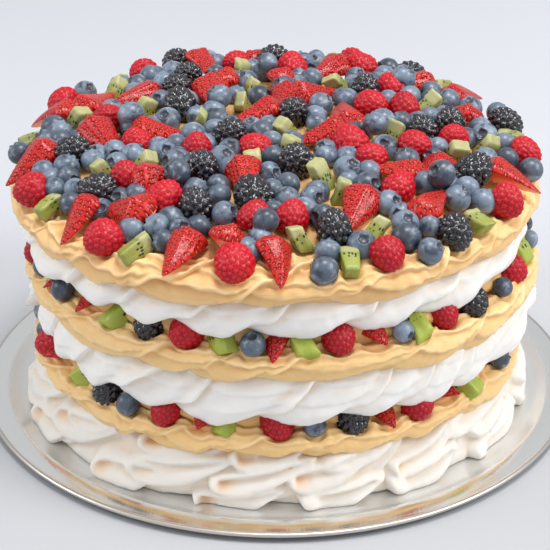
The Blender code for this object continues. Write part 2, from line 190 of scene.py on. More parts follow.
class CakeSizes(bpy.types.PropertyGroup):
    petal_low: size_property("Low petals", "Depth of the lowest meringue's swooshes", 9.0 * MM)
    petal_upper: size_property("Upper lobes", "Depth of the two upper meringues' lobes", 8.5 * MM)
    fold: size_property("Cream folds", "Depth of the folds in the cream", 7.5 * MM)
    cup: size_property("Fruit cups", "Height of the cream round a fruit at the rim", 1.2 * MM)


class CakeColours(bpy.types.PropertyGroup):
    meringue: colour_property("Meringue", "Baked meringue", (0.885, 0.865, 0.835))
    browned: colour_property("Browned", "Meringue that has caught in the oven", (0.60, 0.30, 0.12))
    cream: colour_property("Cream", "Coffee cream", (0.82, 0.525, 0.230))
    # painted shade: the colour given to cream deep in a fold, where shade falls
    cream_hollow: colour_property("Cream hollows", "Cream deep in a fold", (0.62, 0.295, 0.100))
    raspberry: colour_property("Raspberry", "Skin of a raspberry", (0.43, 0.004, 0.013))
    bramble: colour_property("Bramble", "Skin of a dark berry", (0.007, 0.007, 0.013))
    blueberry: colour_property("Blueberry", "Dusty skin of a blueberry", (0.165, 0.218, 0.292))
    kiwi: colour_property("Kiwi", "Green flesh of a kiwi", (0.28, 0.31, 0.042))
    kiwi_core: colour_property("Kiwi core", "Pale middle of a kiwi", (0.39, 0.38, 0.165))
    strawberry: colour_property("Strawberry", "Skin of a strawberry", (0.50, 0.005, 0.008))
    tray: colour_property("Tray", "Sheet metal of the tray", (0.90, 0.90, 0.89))
    floor: colour_property("Floor", "Ground under the tray", (0.428, 0.439, 0.465))


# ---------------------------------------------------------------- shader maths
class Socket:
    """A shader value that may be used in Python expressions."""

    def __init__(self, tree, link):
        self.tree, self.link = tree, link

    def maths(self, operation, first, second):
        return self.tree.node("ShaderNodeMath", dict(operation=operation), {0: first, 1: second})

    def __add__(self, other):
        return self.maths("ADD", self, other)

    def __sub__(self, other):
        return self.maths("SUBTRACT", self, other)

    def __rsub__(self, other):
        return self.maths("SUBTRACT", other, self)

    def __mul__(self, other):
        return self.maths("MULTIPLY", self, other)

    def __pow__(self, other):
        return self.maths("POWER", self, other)

    __radd__ = __add__
    __rmul__ = __mul__

    def between(self, low, high):
        """0 below low, 1 above high, smooth between; a fall where low is the larger."""
        values = {"Value": self, "From Min": min(low, high), "From Max": max(low, high),
                  "To Min": float(low > high), "To Max": float(low <= high)}
        smooth = dict(interpolation_type="SMOOTHSTEP")
        return self.tree.node("ShaderNodeMapRange", smooth, values, "Result")


class NodeTree:
    """The nodes of a material or a world. A colour may be given by its name."""

    def __init__(self, owner):
        owner.use_nodes = True
        self.nodes, self.links = owner.node_tree.nodes, owner.node_tree.links

    def node(self, kind, settings, values, output=0):
        made = self.nodes.new(kind)
        for key, value in settings.items():
            setattr(made, key, value)
        for key, value in values.items():
            self.feed(made.inputs[key], value)
        return Socket(self, made.outputs[output])

    def feed(self, socket, value):
        if isinstance(value, Socket):
            self.links.new(value.link, socket)
            return
        if isinstance(value, str):
            value = TINTS.get(value) or getattr(bpy.context.scene.cake_colours, value)
        socket.default_value = (*value, 1.0) if socket.type == "RGBA" else value


class Finish(NodeTree):
    """One material: what is the same all over it is set on the shader's own sockets."""

    def __init__(self, name, **constants):
        self.material = bpy.data.materials.new(name)
        super().__init__(self.material)
        self.done(**constants)

    def done(self, **inputs):
        """Feeds the shader's sockets, named as in subsurface_weight."""
        sockets = self.nodes["Principled BSDF"].inputs
        for key, value in inputs.items():
            self.feed(sockets[key.replace("_", " ").title().replace("Ior", "IOR")], value)
        return self.material

    def place(self):
        return self.node("ShaderNodeTexCoord", {}, {}, "Object")

    def attribute(self, name, output="Fac"):
        return self.node("ShaderNodeAttribute", dict(attribute_name=name), {}, output)

    def stretched(self, vector, scale, turn=(0.0, 0.0, 0.0)):
        values = {"Vector": vector, "Scale": scale, "Rotation": turn}
        return self.node("ShaderNodeMapping", {}, values)

    def noise(self, vector, scale, detail=3.0, roughness=0.5, distortion=0.0):
        values = {"Vector": vector, "Scale": scale, "Detail": detail, "Roughness": roughness,
                  "Distortion": distortion}
        return self.node("ShaderNodeTexNoise", {}, values)

    def cells(self, vector, scale, randomness=1.0, dimensions="3D"):
        values = {"Vector": vector, "Scale": scale, "Randomness": randomness}
        settings = dict(voronoi_dimensions=dimensions)
        return self.node("ShaderNodeTexVoronoi", settings, values, "Distance")

    def mix(self, share, first, second):
        """Colour from first to second as share goes from 0 to 1."""
        values = {0: share, 6: first, 7: second}
        return self.node("ShaderNodeMix", dict(data_type="RGBA"), values, 2)

    def parts(self, vector):
        first = self.node("ShaderNodeSeparateXYZ", {}, {0: vector})
        return [Socket(self, output) for output in first.link.node.outputs]

    def bump(self, height, distance, strength):
        values = {"Height": height, "Distance": distance, "Strength": strength}
        return self.node("ShaderNodeBump", {}, values)


# ---------------------------------------------------------------- putting pieces in the scene
def add_object(name, data):
    made = bpy.data.objects.new(name, data)
    bpy.context.scene.collection.objects.link(made)
    return made


def add_piece(mesh, finish, slot, *nodes):
    """A finished mesh becomes a piece that rides with the cake and stands for its solids."""
    mesh.materials.append(finish)
    piece = add_object(mesh.name, mesh)
    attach(piece, "root")
    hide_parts(*nodes)


def mesh_of(name, bm):
    mesh = bpy.data.meshes.new(name)
    bm.to_mesh(mesh)
    bm.free()
    mesh.shade_smooth()
    return mesh


def coordinates(mesh):
    values = np.empty(len(mesh.vertices) * 3, np.float32)
    mesh.vertices.foreach_get("co", values)
    return values.reshape(-1, 3).astype(float)


def set_coordinates(mesh, points):
    mesh.vertices.foreach_set("co", np.ascontiguousarray(points, np.float32).ravel())
    mesh.update()


def set_attribute(mesh, name, values):
    kind, field = ("FLOAT_VECTOR", "vector") if np.ndim(values) == 2 else ("FLOAT", "value")
    made = mesh.attributes.new(name, kind, "POINT")
    made.data.foreach_set(field, np.ascontiguousarray(values, np.float32).ravel())


def turned(profile, segments):
    """A closed body from (radius, height) points that start and end on the axis."""
    bm = bmesh.new()
    turns = [2 * math.pi * place / segments for place in range(segments)]
    rings = [[bm.verts.new((radius * math.cos(turn), radius * math.sin(turn), height))
              for turn in (turns if radius else turns[:1])] for radius, height in profile]
    for one, other in zip(rings, rings[1:]):
        for place in range(segments):
            corners = [ring[step_on % len(ring)] for ring, step_on in (
                (one, place), (one, place + 1), (other, place + 1), (other, place))]
            bm.faces.new(tuple(dict.fromkeys(corners)))  # on the axis two corners are one
    bmesh.ops.recalc_face_normals(bm, faces=bm.faces)
    return bm


def rolled_grid(name, rows, columns):
    """A grid rolled into a closed tube of unit radius, its rows at heights 0 to rows - 1.

    One more row at each end is drawn in to a pole."""
    bm = bmesh.new()
    bmesh.ops.create_grid(bm, x_segments=columns, y_segments=rows + 1, size=1.0)
    flat = mesh_of(name, bm)
    grid = coordinates(flat)
    turn = (grid[:, 0] + 1) * math.pi
    height = np.rint((grid[:, 1] + 1) / 2 * (rows + 1)) - 1
    radius = np.where((height < -0.5) | (height > rows - 0.5), 0.0, 1.0)
    set_coordinates(flat, np.stack([radius * np.sin(turn), -radius * np.cos(turn), height], 1))
    bm = bmesh.new()
    bm.from_mesh(flat)
    bpy.data.meshes.remove(flat)
    bmesh.ops.remove_doubles(bm, verts=bm.verts, dist=1e-4)
    bmesh.ops.recalc_face_normals(bm, faces=bm.faces)
    return mesh_of(name, bm)


# ---------------------------------------------------------------- relief of a piped layer
def step(value, low, high):
    """Smooth step from 0 at low to 1 at high."""
    share = np.clip((value - low) / (high - low), 0, 1)
    return share * share * (3 - 2 * share)


def bell(value, middle, width):
    """1 at the middle, falling smoothly to both sides."""
    return np.exp(-(((value - middle) / width) ** 2))


def spread(grid):
    """One pass of averaging with the neighbours, closed round the layer."""
    grid = 0.5 * grid + 0.25 * (np.roll(grid, 1, 1) + np.roll(grid, -1, 1))
    padded = np.pad(grid, ((1, 1), (0, 0)), mode="edge")
    return 0.5 * padded[1:-1] + 0.25 * (padded[:-2] + padded[2:])


def outline(points, fine, first, last, ends=9, samples=1200):
    """Rows along a rounded polyline: radius, height, and length from its corner `first`.

    Between the corners `first` and `last` the rows stand `fine` apart, and outside them
    only `ends` rows carry the hidden parts."""
    points = np.array(points, float)
    reach = np.concatenate([[0], np.cumsum(np.hypot(*np.diff(points, axis=0).T))])
    dense = np.linspace(0, reach[-1], samples)
    width = int(ROUNDING / (dense[1] - dense[0]))
    rounded = []
    for side in points.T:
        padded = np.pad(np.interp(dense, reach, side), width // 2, mode="edge")
        rounded.append(np.convolve(padded, np.ones(width) / width, "valid")[:samples])
    low, high = reach[first], reach[last]
    rows = np.concatenate([
        np.linspace(0, low, ends)[:-1],
        np.linspace(low, high, int((high - low) / fine)),
        np.linspace(high, reach[-1], ends)[1:],
    ])
    radius, height = (np.interp(rows, dense, side) for side in rounded)
    return radius, height, rows - low


class Layer:
    """A ring of piped stuff as a grid of heights over a smooth outline, all in millimetres."""

    def __init__(self, points, fine, first, last):
        self.radius, self.height, self.up = outline(points, fine, first, last)
        run = np.gradient(self.radius), np.gradient(self.height)
        size = np.hypot(*run)
        self.tangent = run[0] / size, run[1] / size
        self.bearing = np.arange(COLUMNS) * 2 * math.pi / COLUMNS
        self.girth = 2 * math.pi * float(self.radius.max())
        self.along = self.bearing / (2 * math.pi) * self.girth
        self.relief = np.zeros((len(self.up), COLUMNS))
        self.browned = np.zeros_like(self.relief)
        self.lift = np.zeros_like(self.relief)  # straight up, for cups and hanging edges

    def waves(self, chance, lengths, sizes, stretch=1.0, each=5):
        """Slow random waves over the grid: `each` of every length, in millimetres."""
        total = np.zeros_like(self.relief)
        for length, size in zip(lengths, sizes):
            for _ in range(each):
                count = max(1, round(self.girth / length * chance.uniform(0.7, 1.3)))
                slope = chance.uniform(-1, 1) * 2 * math.pi / (length * stretch)
                start = chance.uniform(0, 2 * math.pi)
                turn = count * self.bearing[None, :] + slope * self.up[:, None] + start
                total += size * np.sin(turn) / 2.2
        return total

    def petal(self, start, length, height, rise, sag, width, depth, browned, tilt, hollow,
              bend, blunt):
        """Lays one petal over what is there: a spoon with a raised rim.

        Its lower edge hangs down to `height`, and it rises to a point at its right end.
        `a` runs along it and `q` across it from its lower edge, both from 0 to 1."""
        share = ((self.along - start + self.girth / 2) % self.girth - self.girth / 2) / length
        columns = np.flatnonzero((share > 0.0) & (share < 1.0))
        a = share[columns]
        middle = height + width + rise * a**bend + sag * (1 - np.sin(math.pi * a**0.75))
        round_end = np.sqrt(1 - (1 - np.minimum(a / blunt, 1)) ** 2)
        point = 1 - np.clip((a - 0.5) / 0.5, 0, 1) ** 1.7
        half = width * (0.06 + 0.94 * round_end * point)
        b = (self.up[:, None] - middle) / half
        q = (np.clip(b, -1, 1) + 1) / 2
        ends = step(q, 0.0, 0.10) * step(q, 1.0, 0.94)
        belly = np.sin(math.pi * q**0.85) ** 0.55
        dip = bell(q, 0.58, 0.20) * step(a, 0.10, 0.28) * step(a, 1.0, 0.80)
        crest = bell(q, 0.86, 0.075) * (0.25 + 0.75 * step(a, 0.05, 0.6))
        patch = bell(q, 0.56, 0.16) * step(a, 0.06, 0.10) * step(a, 0.32, 0.12)
        body = ends * (0.80 * belly * (1 - hollow * dip) + 0.38 * crest)
        body = body - 0.75 * browned * patch
        value = depth * body * (0.7 + 0.3 * point) + tilt * (a - 0.4)
        here = self.relief[:, columns]
        above = (np.abs(b) < 1) & (value > here)
        self.relief[:, columns] = np.where(above, value, here)
        self.browned[:, columns] = np.where(above, browned * patch, self.browned[:, columns])

    def swirl(self, chance, count, slant, bend, depth, low, high, form="shell", base=0.0,
              hang=0.0, crease=0.05, puff=0.0):
        """Lobes that lie over each other, their crests sweeping up to the right.

        Each lobe rises slowly to its crest and drops sharply to the next lobe, over a share
        `crease` of its width. A crest needs `slant` millimetres round the layer to climb from
        `low` to `high`. The lobes `hang` below the layer, and with `puff` they end there as
        round bellies. Nested lips lie across each lobe."""
        shape = LOBES[form]
        share = np.clip((self.up - low) / (high - low), 0, 1)[:, None] ** bend
        uneven = 1 + 0.10 * np.sin(self.bearing * 3 + chance.uniform(0, 6))
        uneven += 0.10 * np.sin(self.bearing * 7 + chance.uniform(0, 6))
        phase = (self.along[None, :] - slant * share * uneven[None, :]) * count / self.girth
        phase += self.waves(chance, (150, 60), (0.14, 0.06), 1.5) + chance.random()
        part = phase % 1
        lobe = np.floor(phase).astype(int) % count
        sizes, levels, scoops = (np.array([chance.uniform(*ends) for _ in range(count)])
                                 for ends in ((0.65, 1.2), (-0.7, 0.7), (0.15, 0.55)))
        round_from = low + shape["round_from"]
        belly_share = puff * step(self.up, round_from, round_from - 11)[:, None]

        def across(part, lobe):
            """Height at a part of the way across a lobe."""
            belly = np.sin(math.pi * np.clip(part / 0.90, 0, 1)) ** 0.8
            body = shape["scoop"] * scoops[lobe] * belly + shape["swell"] * part ** shape["curve"]
            body += shape["crest"] * bell(part, 1, shape["thin"])
            sweep = shape["sweep"] * part ** shape["sweep_curve"] + 5 * (1 - part) ** 3
            pitch = shape["pitch"] * (1 - 0.4 * part**2)
            lip = ((self.up[:, None] - low - sweep) / pitch + levels[lobe]) % 1
            edge = 0.36 * (1 - lip) ** 1.1 + 0.14 * bell(lip, 0.15, 0.07)
            body += shape["lips"] * edge * step(lip, 0.0, 0.17) * step(part, 1.0, 0.85)
            body += belly_share * (0.80 * np.sin(math.pi * part) ** 0.8 - body)
            flute = shape["flute"] * np.sin(4 * math.pi * part + 3 * levels[lobe])
            flute = flute * step(part, 0.05, 0.3)
            return base + levels[lobe] + depth * sizes[lobe] * (body + flute)

        drop = across(np.ones_like(part), lobe - 1)
        value = drop + (across(part, lobe) - drop) * step(part, 0.0, crease)
        self.relief = np.maximum(self.relief, value)
        lower = step(self.up, low + 18, low + 2)[:, None]
        self.lift -= hang * lower * (np.sin(math.pi * part) * sizes[lobe] - 0.6)

    def soften(self):
        """Takes the steps of the grid off the creases."""
        self.relief = spread(self.relief)
        self.browned = spread(spread(self.browned))

    def build(self, name, curl, ceiling=math.inf, floor=-math.inf, lean=0.20, fade=10,
              wide_passes=24):
        """The layer as a mesh in metres. Relief also curls down the outline and leans round it.

        It fades out at the hidden ends. Hollow is how far a point lies below its surroundings."""
        rows = len(self.up)
        mesh = rolled_grid(name, rows, COLUMNS)
        grid = coordinates(mesh)
        pole = np.hypot(grid[:, 0], grid[:, 1]) < 0.5
        row = np.clip(np.rint(grid[:, 2]).astype(int), 0, rows - 1)
        bearing = np.arctan2(grid[:, 0], -grid[:, 1])
        column = np.rint(bearing / (2 * math.pi) * COLUMNS).astype(int) % COLUMNS
        shown = step(self.up, self.up[0], self.up[0] + fade)
        shown = (shown * step(self.up, self.up[-1], self.up[-1] - fade))[:, None]
        relief = self.relief * shown
        height = relief[row, column]
        slide = curl * np.maximum(height, 0)
        tangent_r, tangent_z = self.tangent[0][row], self.tangent[1][row]
        radius = self.radius[row] + tangent_z * height - tangent_r * slide
        up = self.height[row] - tangent_r * height - tangent_z * slide
        up += (self.lift * shown)[row, column]
        up = np.clip(up, floor, ceiling)
        radius = np.where(pole, 0.0, radius)
        turn = bearing + lean * height / np.maximum(radius, 50)
        points = np.stack([radius * np.sin(turn), -radius * np.cos(turn), up], 1) * MM
        set_coordinates(mesh, points)
        wide = relief
        for _ in range(wide_passes):
            wide = spread(wide)
        set_attribute(mesh, "Hollow", np.clip((wide - relief)[row, column] / 2.0, -1, 1))
        set_attribute(mesh, "Browned", np.clip(self.browned[row, column], 0, 1))
        return mesh


# ---------------------------------------------------------------- where the fruit lies
def direction(bearing):
    turn = math.radians(bearing)
    return Vector((math.sin(turn), -math.cos(turn), 0.0))


def mound(spot):
    """Height of the top's core above its cream: domed, and higher towards the back."""
    share = min(spot.length / MOUND_RADIUS, 1.0)
    back = 0.5 * (1.0 + spot.y / MOUND_RADIUS)
    return MOUND_EDGE + MOUND_HEIGHT * (1.0 - share**3) + MOUND_BACK * back


def placed(kind, bearing, radius, chance, heading=None):
    """One fruit as a plain record; its heading is the bearing that its long side faces."""
    scale = 1.0 + chance.uniform(-SIZE_SPREAD, SIZE_SPREAD)
    if heading is None:
        heading = chance.uniform(0.0, 360.0)
    across, along, thick = (side * scale for side in FRUIT_SIZE[kind])
    return dict(
        kind=kind, spot=direction(bearing) * radius, heading=heading, scale=scale,
        reach=0.25 * (across + along), thick=thick, rim=False,
        tilt=chance.uniform(-12.0, 12.0),
        roll=chance.uniform(-25.0, 25.0) if kind == "strawberry" else chance.uniform(0.0, 360.0),
    )


def ring_fruit(tier, chance):
    """The outer ring of a tier: as the photo shows it in front, by a rule behind."""
    front = [(LETTER[mark[0]], float(mark[1:])) for mark in FRONT[tier].split()]
    first, last = front[0][1], front[-1][1]
    count = int(math.radians(360.0 + first - last) * RIM_REACH[tier] / BACK_SPACING)
    for place in range(1, count):
        bearing = last + (360.0 + first - last) * place / count
        front.append((LETTER[BACK[place % len(BACK)]], bearing + chance.uniform(-1.0, 1.0)))
    made = []
    for kind, bearing in front:
        heading = bearing + chance.uniform(-HEADING_SPREAD, HEADING_SPREAD)
        radius = RIM_REACH[tier] - 0.5 * FRUIT_SIZE[kind][1] + chance.uniform(-0.0012, 0.0008)
        made.append(dict(placed(kind, bearing, radius, chance, heading), rim=True))
    return made


def top_fruit(chance):
    """Rings of fruit inside the rim, pushed apart until they hardly cross."""
    fruits = ring_fruit("top", chance)
    for radius, letters in TOP_RINGS:
        widths = [sum(FRUIT_SIZE[LETTER[letter]][:2]) / 2 for letter in letters]
        walked = 0.0
        for letter, width in zip(letters, widths):
            bearing = 360.0 * (walked + width / 2) / sum(widths)
            walked += width
            spot = radius + chance.uniform(-0.0025, 0.0025)
            fruits.append(placed(LETTER[letter], bearing, spot, chance))
    for _ in range(SPREADING_PASSES):
        push_apart(fruits)
    return fruits


def push_apart(fruits):
    """One pass: each pair that is too close moves apart, the rim's pieces less."""
    for i, one in enumerate(fruits):
        for other in fruits[i + 1:]:
            between = other["spot"] - one["spot"]
            wanted = CROWDING * (one["reach"] + other["reach"])
            distance = between.length
            if distance >= wanted or distance < 1e-6:
                continue
            push = between * (PUSH_SHARE * (wanted - distance) / distance)
            one["spot"] -= push * (RIM_GIVE if one["rim"] else 1.0)
            other["spot"] += push * (RIM_GIVE if other["rim"] else 1.0)
    for fruit in fruits:
        farthest = RIM_REACH["top"] - 0.5 * FRUIT_SIZE[fruit["kind"]][1]
        if fruit["spot"].length > farthest:
            fruit["spot"] *= farthest / fruit["spot"].length


def stack(fruits, chance):
    """Heights of the top's fruit, with some more blueberries laid where they find hold."""
    for fruit in fruits:
        fruit["height"] = mound(fruit["spot"]) + (0.5 - SINK) * fruit["thick"]
    for place in range(SECOND_LAYER):
        bearing = 360.0 * place / SECOND_LAYER + chance.uniform(-9.0, 9.0)
        radius = SECOND_RADIUS * math.sqrt(chance.uniform(0.02, 1.0))
        extra = placed("blueberry", bearing, radius, chance)
        under = max((fruit["height"] for fruit in fruits
                     if (fruit["spot"] - extra["spot"]).length < extra["thick"]),
                    default=mound(extra["spot"]))
        extra["height"] = min(under + SECOND_LIFT, HIGHEST_FRUIT - extra["thick"] / 2)
        fruits.append(extra)
    return fruits


def crowd(fruits, chance):
    """More fruit in the gaps of the top, which the solids leave out: low where room is tight."""
    spots = np.array([fruit["spot"][:2] for fruit in fruits])
    reaches = np.array([fruit["reach"] for fruit in fruits])
    for kind, tries, share in CROWD:
        for _ in range(tries):
            bearing = chance.uniform(0, 360)
            radius = CORE_RADIUS * math.sqrt(chance.random())
            extra = placed(kind, bearing, radius, chance)
            away = np.hypot(*(spots - np.array(extra["spot"][:2])).T)
            room = (away / (reaches + extra["reach"])).min()
            if room < share:
                continue
            sunk = SINK + 0.9 * max(0.0, CROWDING - room)
            extra["height"] = mound(extra["spot"]) + (0.5 - sunk) * extra["thick"]
            fruits.append(extra)
            spots = np.vstack([spots, extra["spot"][:2]])
            reaches = np.append(reaches, extra["reach"])


def lay_fruit():
    """Every fruit of each tier with its middle in the frame, as its solid lies."""
    laid = {}
    for place, tier in enumerate(TIERS):
        chance = random.Random(SEED + place)
        bottom = TRAY_SHEET + TIERS[tier]["fruit"] + GAP
        if tier == "top":
            fruits = stack(top_fruit(chance), chance)
            for fruit in fruits:
                if fruit["rim"]:
                    fruit["spot"] *= 1 + RIM_SETTLE[0] / fruit["spot"].length
                    fruit["height"] -= RIM_SETTLE[1]
                elif fruit["kind"] in STANDING:
                    half = 0.5 * FRUIT_SIZE[fruit["kind"]][1] * fruit["scale"]
                    fruit["height"] = min(fruit["height"], HIGHEST_FRUIT - half)
            crowd(fruits, chance)
        else:
            fruits = ring_fruit(tier, chance)
            for fruit in fruits:
                fruit["height"] = 0.5 * (TRAY_SHEET + TIERS[tier]["top"] - bottom)
        for fruit in fruits:
            fruit["tier"] = tier
            centre = Vector((TIER_SHIFT[tier], 0.0, bottom + fruit["height"]))
            fruit["middle"] = fruit["spot"] + centre
        laid[tier] = fruits
    return laid


FRUIT = lay_fruit()


# ---------------------------------------------------------------- meringue
def meringue_finish():
    made = Finish("meringue_baked", subsurface_weight=0.22, subsurface_scale=0.004,
                  subsurface_radius=(1.0, 0.75, 0.55), specular_ior_level=0.35, ior=1.45)
    place = made.place()
    patches = made.noise(place, 38.0, 3.0, 0.6)
    # painted shade: the meringue is tinted warmer and darker where it lies below its surroundings,
    # in the creases where shade falls; noise patches add a random baked tone
    hollow_shade_and_patches = made.attribute("Hollow").between(0.02, 0.7) * 0.45 + patches.between(0.52, 0.80) * 0.10
    lowest = made.parts(place)[2].between(0.044, 0.020) * 0.5
    colour = made.mix(lowest, "meringue", "low_disc")
    colour = made.mix(hollow_shade_and_patches, colour, "baked_tone_and_hollow_shade")
    toasted = made.attribute("Browned") * (0.55 + patches * 0.9)
    colour = made.mix(toasted.between(0.02, 0.30) * 0.5, colour, "toasted")
    colour = made.mix(toasted.between(0.20, 0.85), colour, "browned")
    specks = made.cells(place, 95.0).between(0.20, 0.10)
    rare = made.noise(place, 22.0, 1.0).between(0.64, 0.70)
    colour = made.mix(specks * rare * 0.6, colour, "browned")
    fine = made.noise(place, 700.0, 4.0, 0.6)
    broad = made.noise(made.stretched(place, (1.0, 1.0, 1.8)), 90.0, 2.0, 0.5)
    holes = made.cells(place, 330.0).between(0.16, 0.05)
    holes = holes * made.noise(place, 60.0).between(0.55, 0.7)
    normal = made.bump(broad + fine * 0.10 - holes * 0.4, 0.0011, 0.35)
    return made.done(base_color=colour, roughness=0.42 + patches * 0.16, normal=normal)


def petals(layer, chance, depth, heights, rise, ahead):
    """One row of petals round a layer, as uneven as a hand pipes them."""
    for place in range(PETALS_IN_ROW):
        start = layer.girth * (place + chance.uniform(-0.22, 0.22)) / PETALS_IN_ROW + ahead
        caught = 0.7 - 0.4 * math.sin(start / layer.girth * 2 * math.pi + 0.5)
        layer.petal(
            start, chance.uniform(*PETAL_LENGTH), chance.uniform(*heights),
            chance.uniform(*rise), sag=chance.uniform(1.0, 4.0),
            width=chance.uniform(*PETAL_WIDTH), depth=depth * chance.uniform(0.80, 1.15),
            browned=chance.uniform(0.6, 1.0) if chance.random() < caught else 0.0,
            tilt=chance.uniform(-1.6, 1.6), hollow=chance.uniform(0.45, 0.75),
            bend=chance.uniform(1.0, 1.6), blunt=chance.uniform(0.22, 0.36))


def meringue_outline(tier):
    """Outline of a disc, from inside its underside round the side to inside its top."""
    bottom, top = TIERS[tier]["meringue"] / MM, TIERS[tier]["cream"] / MM
    wide, droop = {"low": (143.0, 0.0), "middle": (144.5, 1.2), "top": (146.0, 1.4)}[tier]
    return [
        (110, bottom + 0.4), (wide - 14, bottom + 0.4 + droop), (wide - 3.5, bottom + 0.2),
        (wide, bottom + 5), (wide + 0.3, bottom + 0.55 * (top - bottom)), (wide - 2, top - 4),
        (wide - 7, top + 0.5), (wide - 14, top + 1.0), (110, top + 1.0),
    ]


def spreading(layer):
    """How far the lowest disc has spread on the tray, most at the front left."""
    away = (np.degrees(layer.bearing) + 230) % 360 - 180
    return (2.5 + 5.0 * bell(away, 0, 34)) * step(layer.up, 34, 14)[:, None]


def build_meringue(tier):
    sizes = bpy.context.scene.cake_sizes
    chance = random.Random(40 + list(TIERS).index(tier))
    layer = Layer(meringue_outline(tier), 0.85, 1, 6)
    layer.relief += layer.waves(chance, (140, 60), (0.7, 0.5)) - 3.0
    if tier == "low":
        depth = sizes.petal_low / MM
        layer.swirl(chance, 20, 70, 0.6, 0.5 * depth, 6, 40, base=-1.8, hang=0.4, puff=0.8)
        for heights, share, ahead, rise in PETAL_ROWS:
            petals(layer, chance, share * depth, heights, (0.5 * rise, rise), ahead)
        layer.relief += spreading(layer)
    else:
        depth = sizes.petal_upper / MM
        count = {"middle": 23, "top": 21}[tier]
        layer.swirl(chance, count, 46, 0.6, depth, 5, 38, base=-2.2, hang=2.6, puff=0.92)
        layer.swirl(chance, 13, 34, 0.6, 0.9 * depth, 9, 44, base=-5.4, puff=0.8)
    floor = TIERS[tier]["meringue"] / MM + 0.3 if tier == "low" else -math.inf
    finish_layer(layer, chance, (11, 6), tier, "meringue", "piped", "meringue_baked",
                 curl=0.30, floor=floor)


def finish_layer(layer, chance, ripples, tier, slot, way, finish, **shaping):
    """Softens a layer, ripples it slightly and puts it in the scene."""
    layer.soften()
    layer.relief += layer.waves(chance, ripples, (0.10, 0.05))
    if slot == "cream":
        cups(layer, tier, bpy.context.scene.cake_sizes.cup / MM)
    mesh = layer.build(f"{slot}_{tier}_{way}", **shaping)
    mesh.transform(Matrix.Translation((TIER_SHIFT[tier], 0.0, TRAY_SHEET)))
    add_piece(mesh, bpy.data.materials[finish], slot, f"{slot}_{tier}")


# ---------------------------------------------------------------- cream
def cream_finish():
    made = Finish("coffee_cream", subsurface_weight=0.18, subsurface_scale=0.003,
                  subsurface_radius=(1.0, 0.65, 0.35), specular_ior_level=0.40, ior=1.45)
    place = made.place()
    hollow = made.attribute("Hollow")
    cloudy = made.noise(place, 45.0, 3.0, 0.55)
    # painted shade: the cream is darkened deep in its folds, where shade falls, plus some cloudy
    # random tone
    deep = hollow.between(0.0, 0.8) * 0.60 + cloudy.between(0.45, 0.75) * 0.12
    colour = made.mix(deep, "cream", "cream_hollow")
    lower = made.parts(place)[2].between(0.118, 0.100) * 0.30
    colour = made.mix(lower, colour, "lower_cream")
    # painted highlight: the cream is paler on crests that stand above their surroundings, where
    # light catches them
    colour = made.mix(hollow.between(-0.05, -0.6) * 0.45, colour, "cream_crest_highlight")
    grain = made.noise(place, 900.0, 3.0, 0.6)
    drag = made.noise(made.stretched(place, (1.0, 1.0, 3.5)), 140.0, 2.0, 0.5, 0.4)
    holes = made.cells(place, 260.0).between(0.15, 0.05)
    holes = holes * made.noise(place, 75.0).between(0.58, 0.70)
    normal = made.bump(drag + grain * 0.08 - holes * 0.9, 0.0009, 0.4)
    return made.done(base_color=colour, roughness=0.40 + cloudy * 0.15, normal=normal)


def cups(layer, tier, height):
    """Cream gives way under each fruit at the rim and stands up round it."""
    radius = layer.radius[:, None]
    x, y = radius * np.sin(layer.bearing), -radius * np.cos(layer.bearing)
    near_top = step(layer.up, layer.up[-1] - 52, layer.up[-1] - 44)[:, None]
    dip, wall = np.zeros_like(layer.relief), np.zeros_like(layer.relief)
    for fruit in (fruit for fruit in FRUIT[tier] if fruit["rim"]):
        across, along, _ = (side * fruit["scale"] / MM for side in FRUIT_SIZE[fruit["kind"]])
        way = direction(fruit["heading"])
        ahead = x - fruit["spot"].x / MM, y - fruit["spot"].y / MM
        slid = ahead[0] * way.x + ahead[1] * way.y
        slid = np.clip(slid, -(along - across) / 2, (along - across) / 2)
        share = np.hypot(ahead[0] - slid * way.x, ahead[1] - slid * way.y) / (across / 2)
        dip = np.maximum(dip, step(share, 1.0, 0.55))
        wall = np.maximum(wall, bell(share, 1.22, 0.34))
    layer.lift += near_top * height * (wall - 1.3 * dip)


def build_cream(tier):
    chance = random.Random(70 + list(TIERS).index(tier))
    layer = Layer(CREAM_OUTLINE[tier], 0.80, 1, 7)
    layer.relief += layer.waves(chance, (120, 50), (0.6, 0.4)) - 2.5
    deep = {"low": 0.9, "middle": 1.0, "top": 1.05}[tier]
    depth = bpy.context.scene.cake_sizes.fold / MM * deep
    layer.swirl(chance, 19, 66, 0.75, depth, 4, 42, "fold", base=-2.4, hang=3.4, crease=0.06,
                puff=0.35)
    layer.swirl(chance, 11, 90, 0.8, depth, 8, 42, "fold", base=-5.2, crease=0.08)
    ceiling = math.inf if tier == "top" else TIERS[tier]["top"] / MM - 2.5
    finish_layer(layer, chance, (9, 5), tier, "cream", "ruffled", "coffee_cream",
                 curl=0.45, ceiling=ceiling)


# ---------------------------------------------------------------- fruit shapes
def even_points(count, chance):
    """Points spread evenly over a unit sphere: scattered, then pushed apart."""
    points = np.array([[chance.gauss(0, 1) for _ in range(3)] for _ in range(count)])
    for _ in range(120):
        points /= np.linalg.norm(points, axis=1)[:, None]
        between = points[:, None] - points[None]
        distance = (between**2).sum(2) + np.eye(count)
        push = (between / distance[..., None] ** 2).sum(1)
        points += push * 0.35 / count**1.5
    return points / np.linalg.norm(points, axis=1)[:, None]


